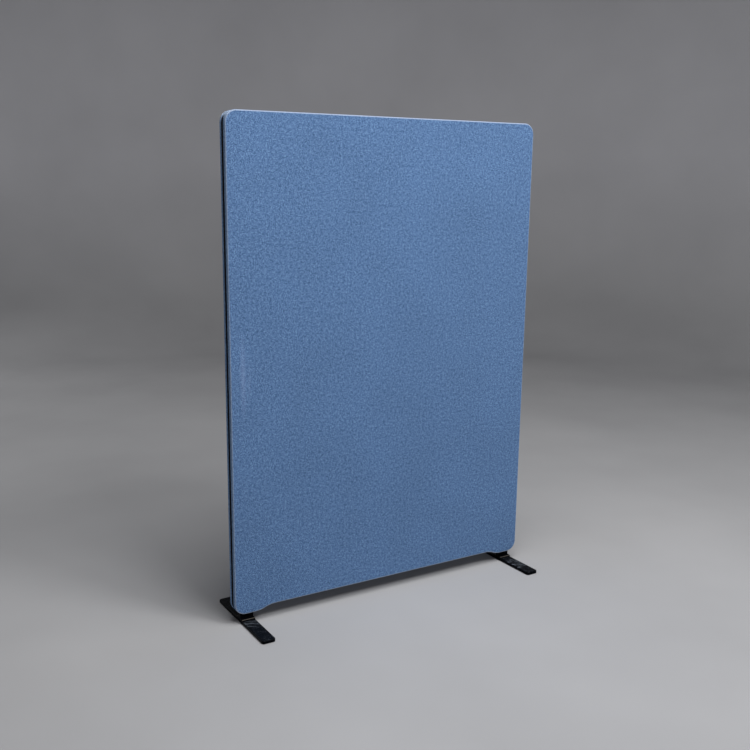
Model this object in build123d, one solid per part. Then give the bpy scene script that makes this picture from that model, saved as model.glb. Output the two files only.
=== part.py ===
from build123d import *
import math
import os

# A free-standing acoustic floor screen: an upholstered panel on two flat-bar feet.
# Millimetres. X runs along the panel's width, -Y is the front, +Z is up.
# The origin is on the floor, under the middle of the panel.
# "Inset" is a distance from the panel's outline, measured inwards.

# Panel outline
panel_width = 1000.0
panel_height = 1350.0
panel_thickness = 36.0
corner_radius = 32.0
standing_gap = 30.0
edge_rise = 12.0
tab_flat = 30.0
ogee_length = 60.0

# Upholstery
fabric_thickness = 1.0
wadding_thickness = 1.5
shoulder_radius = 3.5

# Channel for the zip, round the middle of the edge
channel_width = 12.0
channel_depth = 6.5
sewing_margin = 0.3

# Frame and its filling
member_width = 60.0
board_thickness = 3.0
board_groove_depth = 8.0
board_play = 0.1
end_play = 0.5
dowel_diameter = 8.0
dowel_length = 40.0
dowel_end_play = 0.5
dowel_wall = 6.0

# Zip
tape_thickness = 0.6
facing_inset = 0.6
coil_height = 2.4
coil_width = 2.2
coil_gap = 1.6
stop_length = 3.0
stop_clearance = 2.0
closing_band_thickness = 1.2

# Slider and pull
slider_length = 10.0
slider_wall = 1.0
slider_lip = 0.9
slider_corner_radius = 0.7
running_clearance = 0.3
slider_post_length = 2.5
bow_length = 7.0
bow_thickness = 0.8
bow_width = 1.6
pull_thickness = 1.0
pull_width = 7.0
pull_length = 25.0
pull_side = 1.8
pull_end_radius = 2.0
zip_stop_play = 0.5

# Feet
foot_length = 300.0
foot_width = 40.0
foot_thickness = 8.0
foot_inset = 40.0
foot_corner_radius = 7.0
foot_edge_radius = 2.0
pad_length = 28.0
pad_width = 30.0
pad_thickness = 1.5
pad_end_margin = 10.0
pad_corner_radius = 4.0

# Posts between the feet and the panel
flange_depth = 36.0
flange_thickness = 4.0
post_thickness = 10.0
post_side_clearance = 0.3

# Foot screws and inserts
screw_diameter = 6.0
screw_length = 50.0
screw_spacing = 20.0
screw_play = 0.3
screw_head_diameter = 12.0
screw_head_sink = 0.3
socket_width = 4.0
socket_depth = 2.2
insert_diameter = 10.0
insert_length = 15.0
insert_sink = 2.5
thread_play = 0.05

# Levels and half sizes that follow
panel_bottom = standing_gap
panel_top = panel_bottom + panel_height
half_width = panel_width / 2
half_thickness = panel_thickness / 2
raised_edge = panel_bottom + edge_rise
padding = fabric_thickness + wadding_thickness
half_channel = channel_width / 2
lip_outer = half_channel + fabric_thickness
frame_half_depth = half_thickness - padding
wadding_radius = shoulder_radius - fabric_thickness
frame_radius = wadding_radius - wadding_thickness

# The zip's levels, as insets
tape_inset = channel_depth
tape_back_inset = tape_inset + tape_thickness
coil_inset = tape_inset - coil_height
slider_back_inset = tape_back_inset + running_clearance
groove_inset = slider_back_inset + slider_wall + running_clearance
slider_face_inset = coil_inset - running_clearance
slider_outer_inset = slider_face_inset - slider_wall
pull_inset = slider_outer_inset - running_clearance
pull_outer_inset = pull_inset - pull_thickness
bow_inset = pull_outer_inset - running_clearance
bow_outer_inset = bow_inset - bow_thickness

# The zip's widths, from the middle plane
coil_inner = coil_gap / 2
coil_outer = coil_inner + coil_width
tape_outer = lip_outer + sewing_margin
groove_half = tape_outer + sewing_margin
slider_inner = coil_outer + running_clearance
slider_outer = slider_inner + slider_lip

# Where the zip starts, just above the lower corners
tape_start = panel_bottom + corner_radius + stop_clearance
stop_start = tape_start + sewing_margin
coil_start = stop_start + stop_length
slider_start = coil_start + zip_stop_play
slider_middle = slider_start + slider_length / 2

# The frame's opening
opening_half = half_width - padding - member_width
opening_low = raised_edge + padding + member_width
opening_high = panel_top - padding - member_width
middle_level = (opening_low + opening_high) / 2
middle_low = middle_level - member_width / 2
middle_high = middle_level + member_width / 2
board_groove_half = board_thickness / 2 + board_play
board_half = opening_half + board_groove_depth - end_play

# Foot levels
foot_centre = half_width - foot_inset
bar_low = pad_thickness
bar_high = bar_low + foot_thickness
flange_high = bar_high + flange_thickness
post_high = panel_bottom + groove_inset
insert_low = post_high + insert_sink
insert_high = insert_low + insert_length
screw_low = bar_low + screw_head_sink
screw_high = screw_low + screw_length
screw_offsets = (-screw_spacing / 2, screw_spacing / 2)


def block(x_low, x_high, y_low, y_high, z_low, z_high):
    """A box between two corners."""
    size = (x_high - x_low, y_high - y_low, z_high - z_low)
    centre = ((x_low + x_high) / 2, (y_low + y_high) / 2, (z_low + z_high) / 2)
    return Pos(*centre) * Box(*size)


def rod(x, y, z_low, z_high, radius):
    """An upright cylinder."""
    height = z_high - z_low
    return Pos(x, y, z_low + height / 2) * Cylinder(radius, height)


def arc(centre, radius, start_angle, end_angle):
    """An arc in the XZ plane, by its centre and its angles in radians from +X."""
    middle_angle = (start_angle + end_angle) / 2
    points = []
    for angle in (start_angle, middle_angle, end_angle):
        points.append((centre[0] + radius * math.cos(angle), 0, centre[1] + radius * math.sin(angle)))
    return ThreePointArc(*points)


def half_outline(inset, side):
    """One half of the outline, from the middle of the lower edge to the middle of the top."""
    quarter = math.pi / 2
    ogee_radius = (ogee_length**2 + edge_rise**2) / (4 * edge_rise)
    ogee_angle = math.asin(ogee_length / 2 / ogee_radius)
    corner_x = half_width - corner_radius
    ogee_end_x = corner_x - tab_flat
    ogee_start_x = ogee_end_x - ogee_length
    low_corner = (corner_x, panel_bottom + corner_radius)
    high_corner = (corner_x, panel_top - corner_radius)
    hollow = (ogee_start_x, raised_edge - ogee_radius)
    bulge = (ogee_end_x, panel_bottom + ogee_radius)
    low_line = panel_bottom + inset
    raised_line = raised_edge + inset
    top_line = panel_top - inset
    edges = [
        Line((0, 0, raised_line), (ogee_start_x, 0, raised_line)),
        arc(hollow, ogee_radius + inset, quarter, quarter - ogee_angle),
        arc(bulge, ogee_radius - inset, -quarter - ogee_angle, -quarter),
        Line((ogee_end_x, 0, low_line), (corner_x, 0, low_line)),
        arc(low_corner, corner_radius - inset, -quarter, 0),
        Line((half_width - inset, 0, low_corner[1]), (half_width - inset, 0, high_corner[1])),
        arc(high_corner, corner_radius - inset, 0, quarter),
        Line((corner_x, 0, top_line), (0, 0, top_line)),
    ]
    if side > 0:
        return edges
    return [edge.mirror(Plane.YZ) for edge in edges]


def outline_face(inset):
    """The panel's outline, drawn in by the inset, as a face in the XZ plane."""
    edges = half_outline(inset, 1) + half_outline(inset, -1)
    return Face(Wire(edges))


def slab(inset, y_low, y_high, front_radius=0, rear_radius=0):
    """The outline made solid between two depths, with its front or rear edges rounded."""
    face = outline_face(inset)
    if face.normal_at().Y < 0:
        face = -face
    solid = extrude(Pos(0, y_low, 0) * face, y_high - y_low)
    if front_radius:
        solid = fillet(solid.faces().sort_by(Axis.Y)[0].edges(), front_radius)
    if rear_radius:
        solid = fillet(solid.faces().sort_by(Axis.Y)[-1].edges(), rear_radius)
    return solid


def band(outer_inset, inner_inset, y_low, y_high):
    """A ring that follows the outline between two insets."""
    return slab(outer_inset, y_low, y_high) - slab(inner_inset, y_low, y_high)


def above(level):
    """Everything of the panel above a level."""
    reach = panel_width
    return block(-reach, reach, -reach, reach, level, panel_top + reach)


def below(level):
    """Everything of the panel below a level."""
    reach = panel_width
    return block(-reach, reach, -reach, reach, -reach, level)


def make_cover():
    """Front cover: a fabric tray whose rim turns in to the zip tape."""
    outside = slab(0, -half_thickness, -half_channel, front_radius=shoulder_radius)
    inside = slab(
        fabric_thickness, fabric_thickness - half_thickness, -lip_outer, front_radius=wadding_radius
    )
    mouth = slab(tape_inset, -lip_outer, -half_channel)
    return outside - inside - mouth


def make_wadding():
    """Front wadding: a soft tray between the cover and the frame."""
    outside = slab(
        fabric_thickness, fabric_thickness - half_thickness, -lip_outer, front_radius=wadding_radius
    )
    inside = slab(padding, -frame_half_depth, -lip_outer, front_radius=frame_radius)
    return outside - inside


def frame_ring():
    """The four outer members as one ring, with the zip's groove and the board's groove."""
    blank = slab(
        padding, -frame_half_depth, frame_half_depth, front_radius=frame_radius, rear_radius=frame_radius
    )
    zip_groove = band(0, groove_inset, -groove_half, groove_half)
    reach = frame_half_depth + padding
    opening = block(-opening_half, opening_half, -reach, reach, opening_low, opening_high)
    board_space = block(
        -opening_half - board_groove_depth,
        opening_half + board_groove_depth,
        -board_groove_half,
        board_groove_half,
        opening_low - board_groove_depth,
        opening_high + board_groove_depth,
    )
    return blank - zip_groove - opening - board_space


def dowel_places():
    """Each dowel as (middle point, direction): upright at the corners, level at the middle rail."""
    margin = dowel_wall + dowel_diameter / 2
    inner = opening_half + board_groove_depth + margin
    outer = half_width - groove_inset - margin
    rail_offset = member_width / 2 - board_groove_depth - margin
    places = []
    for side in (-1, 1):
        for reach in (inner, outer):
            for level in (opening_low, opening_high):
                places.append((side * reach, level, "upright"))
        for offset in (-rail_offset, rail_offset):
            places.append((side * opening_half, middle_level + offset, "level"))
    return places


def dowels(end_play):
    """All dowels, or with some end play the holes that they sit in."""
    pieces = []
    for x, z, direction in dowel_places():
        cylinder = Cylinder(dowel_diameter / 2, dowel_length + 2 * end_play)
        if direction == "level":
            cylinder = Rot(0, 90, 0) * cylinder
        pieces.append(Pos(x, 0, z) * cylinder)
    return pieces


def insert_places():
    """The upright axes of the foot screws."""
    return [(side * foot_centre + offset, 0) for side in (-1, 1) for offset in screw_offsets]


def make_frame():
    """The five members, drilled for dowels and inserts."""
    ring = frame_ring()
    members = {
        "bottom_rail": ring & below(opening_low),
        "top_rail": ring & above(opening_high),
    }
    sides = ring & above(opening_low) & below(opening_high)
    reach = panel_width
    members["left_stile"] = sides & block(-reach, 0, -reach, reach, 0, panel_top)
    members["right_stile"] = sides & block(0, reach, -reach, reach, 0, panel_top)
    rail = block(-opening_half, opening_half, -frame_half_depth, frame_half_depth, middle_low, middle_high)
    for low, high in (
        (middle_low, middle_low + board_groove_depth),
        (middle_high - board_groove_depth, middle_high),
    ):
        rail -= block(-opening_half, opening_half, -board_groove_half, board_groove_half, low, high)
    members["middle_rail"] = rail
    for hole in dowels(dowel_end_play):
        for name in members:
            members[name] -= hole
    for x, y in insert_places():
        members["bottom_rail"] -= rod(x, y, post_high - insert_sink, insert_high, insert_diameter / 2)
    return members


def make_boards():
    """The two barrier boards, held in the frame's grooves."""
    lower = block(
        -board_half,
        board_half,
        -board_thickness / 2,
        board_thickness / 2,
        opening_low - board_groove_depth + end_play,
        middle_low + board_groove_depth - end_play,
    )
    upper = block(
        -board_half,
        board_half,
        -board_thickness / 2,
        board_thickness / 2,
        middle_high - board_groove_depth + end_play,
        opening_high + board_groove_depth - end_play,
    )
    return {"barrier_board_lower": lower, "barrier_board_upper": upper}


def make_absorbers():
    """Four slabs that fill the frame's openings, front and rear of the boards."""
    pieces = {}
    reach = opening_half - end_play
    levels = {"lower": (opening_low, middle_low), "upper": (middle_high, opening_high)}
    depths = {
        "front": (-frame_half_depth, -board_thickness / 2),
        "rear": (board_thickness / 2, frame_half_depth),
    }
    for face, (y_low, y_high) in depths.items():
        for place, (z_low, z_high) in levels.items():
            solid = block(-reach, reach, y_low, y_high, z_low + end_play, z_high - end_play)
            pieces[f"absorber_{face}_{place}"] = solid
    return pieces


def make_facing():
    """A facing of tape up the channel's front wall, which hides the cover's turned edge."""
    return band(facing_inset, tape_inset, -half_channel, tape_thickness - half_channel)


def make_zip_half():
    """Front half of the zip: the tape with its facing, and the coil on the tape's outer side."""
    tape = band(tape_inset, tape_back_inset, -tape_outer, -coil_inner) + make_facing()
    tape = tape & above(tape_start)
    coil = band(coil_inset, tape_inset, -coil_outer, -coil_inner) & above(coil_start)
    return tape, coil


def make_zip_stops():
    """A clip under each end of each coil."""
    pieces = []
    for x_low, x_high in (
        (half_width - tape_inset, half_width - coil_inset),
        (coil_inset - half_width, tape_inset - half_width),
    ):
        for y_low, y_high in ((-coil_outer, -coil_inner), (coil_inner, coil_outer)):
            pieces.append(block(x_low, x_high, y_low, y_high, stop_start, coil_start))
    return pieces


def side_block(outer_inset, inner_inset, y_low, y_high, z_low, z_high):
    """A box in the right side's channel, placed by insets."""
    return block(half_width - inner_inset, half_width - outer_inset, y_low, y_high, z_low, z_high)


def make_slider():
    """Two plates that run on both sides of the tape, their lips, their post, and the bow on top."""
    low = slider_start
    high = slider_start + slider_length
    face = side_block(slider_outer_inset, slider_face_inset, -slider_outer, slider_outer, low, high)
    back = side_block(
        slider_back_inset, slider_back_inset + slider_wall, -slider_outer, slider_outer, low, high
    )
    solid = face + back
    for y_low, y_high in ((-slider_outer, -slider_inner), (slider_inner, slider_outer)):
        solid += side_block(slider_outer_inset, tape_inset - running_clearance, y_low, y_high, low, high)
    post_half = coil_inner - running_clearance
    back_inset = slider_back_inset + slider_wall
    post_low = high - slider_post_length
    solid += side_block(slider_outer_inset, back_inset, -post_half, post_half, post_low, high)
    level_edges = solid.edges().filter_by(Axis.X)
    corners = [edge for edge in level_edges if abs(abs(edge.center().Y) - slider_outer) < running_clearance]
    solid = fillet(corners, slider_corner_radius)
    return solid + make_bow()


def make_bow():
    """The bow that holds the pull: an arch along the slider."""
    low = slider_middle - bow_length / 2
    high = slider_middle + bow_length / 2
    arch = side_block(bow_outer_inset, slider_outer_inset, -bow_width / 2, bow_width / 2, low, high)
    return arch - side_block(
        bow_inset, slider_outer_inset, -bow_width, bow_width, low + bow_thickness, high - bow_thickness
    )


def make_pull():
    """A flat pull that hangs from the bow by a cross bar, with a slot that clears the bow."""
    low = slider_middle - pull_length
    plate = side_block(pull_outer_inset, pull_inset, -pull_width / 2, pull_width / 2, low, slider_middle)
    lower_corners = plate.edges().filter_by(Axis.X).sort_by(Axis.Z)[:2]
    plate = fillet(lower_corners, pull_end_radius)
    slot_low = slider_middle - bow_length / 2 - bow_thickness
    slot_half = pull_width / 2 - pull_side
    slot = side_block(pull_outer_inset, pull_inset, -slot_half, slot_half, slot_low, slider_middle)
    bar_x = half_width - (pull_inset + pull_outer_inset) / 2
    bar = Pos(bar_x, 0, slider_middle) * Rot(90, 0, 0) * Cylinder(pull_thickness / 2, pull_width)
    return plate - slot + bar


def make_closing_band():
    """The faced band that closes the channel round the lower corners and edge, slotted for the posts."""
    facing = make_facing()
    ring = band(tape_inset, tape_inset + closing_band_thickness, -tape_outer, tape_outer)
    ring = (ring + facing + rear_twin(facing)) & below(tape_start)
    slot_half = foot_width / 2 + post_side_clearance
    slot_depth = post_thickness / 2 + post_side_clearance
    for side in (-1, 1):
        centre = side * foot_centre
        ring -= block(
            centre - slot_half, centre + slot_half, -slot_depth, slot_depth, 0, panel_bottom + corner_radius
        )
    return ring


def screw_holes(centre, z_low, z_high):
    """The two clearance holes of one foot."""
    radius = screw_diameter / 2 + screw_play
    return [rod(centre + offset, 0, z_low, z_high, radius) for offset in screw_offsets]


def make_foot_bar(side):
    """A flat bar with rounded corners, countersunk from below for the screws."""
    centre = side * foot_centre
    bar = block(
        centre - foot_width / 2,
        centre + foot_width / 2,
        -foot_length / 2,
        foot_length / 2,
        bar_low,
        bar_high,
    )
    bar = fillet(bar.edges().filter_by(Axis.Z), foot_corner_radius)
    bar = fillet(bar.faces().sort_by(Axis.Z)[-1].edges(), foot_edge_radius)
    for hole in screw_holes(centre, bar_low, bar_high):
        bar -= hole
    head_radius = screw_head_diameter / 2 + screw_play
    cone_height = (screw_head_diameter - screw_diameter) / 2
    for offset in screw_offsets:
        bar -= rod(centre + offset, 0, bar_low, screw_low, head_radius)
        cone = Cone(head_radius, head_radius - cone_height, cone_height)
        bar -= Pos(centre + offset, 0, screw_low + cone_height / 2) * cone
    return bar


def make_foot_post(side):
    """A base flange on the foot bar, and a flat post that enters the panel's channel."""
    centre = side * foot_centre
    flange = block(
        centre - foot_width / 2,
        centre + foot_width / 2,
        -flange_depth / 2,
        flange_depth / 2,
        bar_high,
        flange_high,
    )
    post = block(
        centre - foot_width / 2,
        centre + foot_width / 2,
        -post_thickness / 2,
        post_thickness / 2,
        bar_high,
        post_high,
    )
    solid = flange + post
    for hole in screw_holes(centre, bar_high, post_high):
        solid -= hole
    return solid


def make_foot_screws():
    """Countersunk screws, up through bar and post into the inserts."""
    pieces = []
    radius = screw_diameter / 2
    cone_height = (screw_head_diameter - screw_diameter) / 2
    socket = extrude(RegularPolygon(socket_width / 2, 6, major_radius=False), socket_depth)
    for x, y in insert_places():
        screw = rod(x, y, screw_low, screw_high, radius)
        screw += Pos(x, y, screw_low + cone_height / 2) * Cone(screw_head_diameter / 2, radius, cone_height)
        pieces.append(screw - Pos(x, y, screw_low) * socket)
    return pieces


def make_foot_inserts():
    """Threaded inserts in the bottom rail, drawn as plain sleeves."""
    pieces = []
    for x, y in insert_places():
        sleeve = rod(x, y, insert_low, insert_high, insert_diameter / 2)
        bore = rod(x, y, insert_low, insert_high, screw_diameter / 2 + thread_play)
        pieces.append(sleeve - bore)
    return pieces


def make_foot_pads():
    """A pad under each end of each foot."""
    pieces = []
    reach = foot_length / 2 - pad_end_margin - pad_length / 2
    for side in (-1, 1):
        for end in (-1, 1):
            x = side * foot_centre
            y = end * reach
            pad = block(
                x - pad_width / 2, x + pad_width / 2, y - pad_length / 2, y + pad_length / 2, 0, pad_thickness
            )
            pieces.append(fillet(pad.edges().filter_by(Axis.Z), pad_corner_radius))
    return pieces


def rear_twin(shape):
    """The same piece on the panel's rear."""
    return mirror(shape, about=Plane.XZ)


def main():
    cover = make_cover()
    wadding = make_wadding()
    tape, coil = make_zip_half()
    nodes = {
        "cover_front": cover,
        "cover_rear": rear_twin(cover),
        "wadding_front": wadding,
        "wadding_rear": rear_twin(wadding),
        "frame_dowels": dowels(0),
        "zip_tape_front": tape,
        "zip_tape_rear": rear_twin(tape),
        "zip_coil_front": coil,
        "zip_coil_rear": rear_twin(coil),
        "zip_stops": make_zip_stops(),
        "zip_slider": make_slider(),
        "zip_pull": make_pull(),
        "bottom_band": make_closing_band(),
        "foot_screws": make_foot_screws(),
        "foot_inserts": make_foot_inserts(),
        "foot_pads": make_foot_pads(),
    }
    nodes.update(make_frame())
    nodes.update(make_boards())
    nodes.update(make_absorbers())
    for name, side in (("left", -1), ("right", 1)):
        nodes[f"foot_bar_{name}"] = make_foot_bar(side)
        nodes[f"foot_post_{name}"] = make_foot_post(side)
    os.makedirs("parts", exist_ok=True)
    for name, shape in nodes.items():
        solids = shape if isinstance(shape, list) else [shape]
        solids = [solid for item in solids for solid in item.solids()]
        export_step(Compound(solids) if len(solids) > 1 else solids[0], f"parts/{name}.step")
        print(name, len(solids), "solids")


main()
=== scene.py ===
# %% [markdown]
# A zipped acoustic screen, dressed in Blender.
#
# The object is a flat upholstered panel on two black flat-bar feet. Two trays of blue melange
# cloth meet in the middle of the edge, where a black zip joins them round three sides. The
# construction comes in as a fixed frame. This lesson gives it its cloth, its zip, its soft
# inner layers and its finishes, and photographs it in a plain round studio.

# %% Load the frame
import math

import bmesh
import bpy
import numpy as np
from mathutils import Matrix, Vector


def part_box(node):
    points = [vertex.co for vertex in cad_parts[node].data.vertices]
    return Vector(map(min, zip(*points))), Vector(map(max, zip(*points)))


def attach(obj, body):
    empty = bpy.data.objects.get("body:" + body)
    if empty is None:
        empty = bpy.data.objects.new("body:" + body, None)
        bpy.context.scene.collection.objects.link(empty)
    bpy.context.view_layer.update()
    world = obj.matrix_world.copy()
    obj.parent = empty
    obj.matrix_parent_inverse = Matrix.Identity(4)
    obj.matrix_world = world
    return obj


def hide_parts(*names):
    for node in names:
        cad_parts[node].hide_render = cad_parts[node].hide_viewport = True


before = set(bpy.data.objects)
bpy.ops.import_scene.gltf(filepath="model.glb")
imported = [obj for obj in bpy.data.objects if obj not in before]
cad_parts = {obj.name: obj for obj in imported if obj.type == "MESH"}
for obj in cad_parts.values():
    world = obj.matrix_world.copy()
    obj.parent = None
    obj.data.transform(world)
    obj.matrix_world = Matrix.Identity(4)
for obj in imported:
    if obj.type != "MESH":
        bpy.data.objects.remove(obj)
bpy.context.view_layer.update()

# %% [markdown]
# Sizes first. What can be read from the frame is read from it: the panel's width, its lower
# and upper edge and its two faces. Radii and depths aren't in a bounding box, so they are
# named here once, in metres, and everything below is worked out from these values.

# %% The panel's sizes
front_low, front_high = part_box("cover_front")
rear_low, rear_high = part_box("cover_rear")
half_width = front_high.x
panel_low = front_low.z
panel_high = front_high.z
half_depth = rear_high.y
half_channel = rear_low.y

mm = 0.001
corner_radius = 32 * mm
edge_rise = 12 * mm
tab_flat = 30 * mm
ogee_length = 60 * mm
shoulder_radius = 3.5 * mm
cloth_thickness = 1 * mm
channel_depth = 6.5 * mm
fold_radius = 0.8 * mm
raised_edge = panel_low + edge_rise
print("panel:", round(2 * half_width, 3), "by", round(panel_high - panel_low, 3), "m")
print("depth:", round(2 * half_depth, 3), "m, channel:", round(2 * half_channel, 3), "m")

# %% [markdown]
# Every soft layer follows the same outline, so the outline is worked out once, as an array of
# points with the outward direction at each. A layer that lies deeper is the same loop moved
# against that direction. The outline could be drawn as a curve object and offset by Blender,
# but then a sample on one layer wouldn't face the same sample on the next, and the layers
# couldn't be joined into one skin. It is put together from two kinds of run.

# %% Straight runs and bends
run_step = 8 * mm
arc_step = math.radians(5)


def straight(start, end, outward):
    """Points spread evenly from start to end, without the last, all with one outward direction."""
    start, end = np.array(start, float), np.array(end, float)
    count = max(1, round(float(np.linalg.norm(end - start)) / run_step))
    share = np.arange(count)[:, None] / count
    return start + (end - start) * share, np.tile(np.array(outward, float), (count, 1))


def bend(centre, radius, start, end, side=1):
    """Points centre + radius (cos a, sin a) for angles from start to end, without the last.

    The outward direction is (cos a, sin a) on a bulge, side 1, and its opposite in a hollow.
    """
    count = max(3, round(abs(end - start) / arc_step))
    angle = start + (end - start) * np.arange(count) / count
    ray = np.stack([np.cos(angle), np.sin(angle)], axis=1)
    return np.array(centre, float) + radius * ray, side * ray


def joined(runs):
    """Runs of points and directions put end to end."""
    return tuple(np.concatenate(part) for part in zip(*runs))


print("steps:", round(run_step / mm), "mm and", round(math.degrees(arc_step)), "degrees")

# %% [markdown]
# The real panel has a short tab at each lower corner, and between the tabs its lower edge is
# raised. A soft S leads from one height to the other. It could be a free curve, but two equal arcs
# that touch are what a maker would saw. Only the right half is worked out, and the left half is
# its mirror image, so the two sides are equal.

# %% The panel's outline
def panel_outline():
    """The panel's edge as a closed loop (x, z), counter-clockwise from the middle of the lower edge.

    Each S is two equal arcs that touch: with its length l and its rise h, each arc has the radius
    (l * l + h * h) / (4 * h).
    """
    quarter = math.pi / 2
    radius = (ogee_length**2 + edge_rise**2) / (4 * edge_rise)
    turn = math.asin(ogee_length / 2 / radius)
    corner_x = half_width - corner_radius
    tab_x = corner_x - tab_flat
    ogee_x = tab_x - ogee_length
    low_z, high_z = panel_low + corner_radius, panel_high - corner_radius
    right = joined([
        straight((0, raised_edge), (ogee_x, raised_edge), (0, -1)),
        bend((ogee_x, raised_edge - radius), radius, quarter, quarter - turn, side=-1),
        bend((tab_x, panel_low + radius), radius, -quarter - turn, -quarter),
        straight((tab_x, panel_low), (corner_x, panel_low), (0, -1)),
        bend((corner_x, low_z), corner_radius, -quarter, 0),
        straight((half_width, low_z), (half_width, high_z), (1, 0)),
        bend((corner_x, high_z), corner_radius, 0, quarter),
        straight((corner_x, panel_high), (0, panel_high), (0, 1)),
    ])
    top = (np.array([[0, panel_high]]), np.array([[0.0, 1.0]]))
    left = tuple(part[:0:-1] * (-1, 1) for part in right)
    return joined([right, top, left])


edge_points, edge_outward = panel_outline()
edge_length = float(np.linalg.norm(np.roll(edge_points, -1, axis=0) - edge_points, axis=1).sum())
print("outline:", len(edge_points), "points,", round(edge_length, 3), "m round")

# %% [markdown]
# Points could be added to a mesh one at a time, but whole arrays go in with one call. The helper
# takes points, four-cornered faces and, for cloth, the place of each point on the flat cut and how
# far it lies past the face's edge. Doubles are merged, so that a seam between two grids is closed,
# and the normals are turned outwards while the skin is still one closed shell.

# %% From arrays to a mesh
seam_gap = 0.01 * mm


def grid_faces(rows, columns, first=0):
    """Faces between the points of a grid whose index is first + row * columns + column.

    The last column joins the first.
    """
    row, column = np.meshgrid(np.arange(rows - 1), np.arange(columns), indexing="ij")
    after = (column + 1) % columns
    corners = [row * columns + column, row * columns + after]
    corners += [(row + 1) * columns + after, (row + 1) * columns + column]
    return first + np.stack([corner.ravel() for corner in corners], axis=1)


def mesh_piece(name, points, faces, flat=None, border=None):
    """A piece from points (n, 3) and faces (m, 4).

    Cloth also has flat (n, 2), its place on the cut, and border (n), its way past the face.
    """
    mesh = bpy.data.meshes.new(name)
    mesh.from_pydata(np.asarray(points, float), [], np.asarray(faces, int))
    if border is not None:
        past = mesh.attributes.new("border", "FLOAT", "POINT")
        past.data.foreach_set("value", np.asarray(border, np.float32))
    if flat is not None:
        place = mesh.attributes.new("cut", "FLOAT2", "POINT")
        place.data.foreach_set("vector", np.asarray(flat, np.float32).ravel())
    work = bmesh.new()
    work.from_mesh(mesh)
    bmesh.ops.remove_doubles(work, verts=work.verts, dist=seam_gap)
    bmesh.ops.dissolve_degenerate(work, edges=work.edges, dist=seam_gap)
    bmesh.ops.recalc_face_normals(work, faces=work.faces)
    work.to_mesh(mesh)
    work.free()
    if flat is not None:
        count = len(mesh.vertices)
        place = np.zeros(2 * count, np.float32)
        mesh.attributes["cut"].data.foreach_get("vector", place)
        corner = np.zeros(len(mesh.loops), np.int32)
        mesh.loops.foreach_get("vertex_index", corner)
        layer = mesh.uv_layers.new(name="cloth")
        layer.data.foreach_set("uv", place.reshape(count, 2)[corner].ravel())
        mesh.attributes.remove(mesh.attributes["cut"])
    mesh.shade_smooth()
    piece = bpy.data.objects.new(name, mesh)
    bpy.context.scene.collection.objects.link(piece)
    return piece


def report(piece):
    """Prints a piece's faces and says whether its skin is closed."""
    work = bmesh.new()
    work.from_mesh(piece.data)
    open_edges = sum(1 for edge in work.edges if len(edge.link_faces) != 2)
    volume = work.calc_volume(signed=True)
    work.free()
    print(piece.name, len(piece.data.polygons), "faces,", open_edges, "open edges,",
          round(volume * 1e6, 2), "cm3")


print("points closer than", round(seam_gap / mm, 3), "mm are merged")

# %% [markdown]
# The covers. On the real screen each is cut flat from a crepe-woven cloth, pulled over the
# frame, turned into the zip's channel and sewn to the tape. A cloth simulation could stretch
# it, but on a flat, tight panel that only brings noise. So the cover is a profile carried round
# the outline: from the face over the rounded shoulder, along the side, round a small fold and
# down the lip, then back along the inside. The faces close it, as grids that shrink from the
# outline to an upright line in the middle of the panel. Each point also keeps its place on the
# flat cut, because a weave follows the cloth and not the room.

# %% A tray from a profile and an outline
face_rings = 34
inner_rings = 3
ring_crowding = 1.3


def arc_of(centre, radius, start, end, count):
    """count points centre + radius (cos a, sin a), angles in degrees from start to end."""
    angle = np.radians(np.linspace(start, end, count))
    return np.stack([centre[0] + radius * np.cos(angle), centre[1] + radius * np.sin(angle)], axis=1)


def shrink(points, middle_low, middle_high, shares):
    """Rings from the loop to an upright line at x = 0: point * (1 - share) + nearest on line * share."""
    line = np.stack([np.zeros(len(points)), np.clip(points[:, 1], middle_low, middle_high)], axis=1)
    shares = shares[:, None, None]
    return points * (1 - shares) + line * shares


def swept_skin(points, outward, profile, ring_counts):
    """A closed skin: the profile carried round the loop, and a face at each of its ends.

    The profile is rows of (inset, depth). Its point k on sample s lies at
    points[s] - inset[k] * outward[s], with y = depth[k]. A face starts on the loop of an end of
    the profile and shrinks to the upright middle line. The place on the flat cut is (x, z) on
    the faces, and further along the profile it runs on outwards by the length passed. That
    length comes back too, as the border, which is 0 on the faces.
    """
    inset, depth = profile[:, 0], profile[:, 1]
    loop = points[None] - inset[:, None, None] * outward[None]
    passed = np.concatenate([[0], np.cumsum(np.linalg.norm(np.diff(profile, axis=0), axis=1))])
    passed = np.minimum(passed, passed[-1] - passed)
    cut = points[None] - (profile[0, 0] - passed)[:, None, None] * outward[None]
    count = len(points)
    rows = np.concatenate([loop, np.broadcast_to(depth[:, None, None], loop.shape[:2] + (1,))], axis=2)
    places, cuts, faces = [rows], [cut], [grid_faces(len(profile), count)]
    borders = [np.repeat(passed, count)]
    first = len(profile) * count
    reach = points[:, 0].max()
    middle = (points[:, 1].min() + reach, points[:, 1].max() - reach)
    middle = (min(middle), max(middle))
    for end, rings in zip((0, -1), ring_counts):
        shares = np.linspace(0, 1, rings + 1) ** ring_crowding
        spread = shrink(loop[end], *middle, shares)
        flat_y = np.full(spread.shape[:2] + (1,), depth[end])
        places.append(np.concatenate([spread, flat_y], axis=2))
        cuts.append(spread)
        borders.append(np.zeros((rings + 1) * count))
        faces.append(grid_faces(rings + 1, count, first))
        first += (rings + 1) * count
    points = np.concatenate([part.reshape(-1, 3) for part in places])[:, [0, 2, 1]]
    cut = np.concatenate([part.reshape(-1, 2) for part in cuts])
    return points, np.concatenate(faces), cut, np.concatenate(borders)


print("a face has", face_rings, "rings outside and", inner_rings, "inside")

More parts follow.
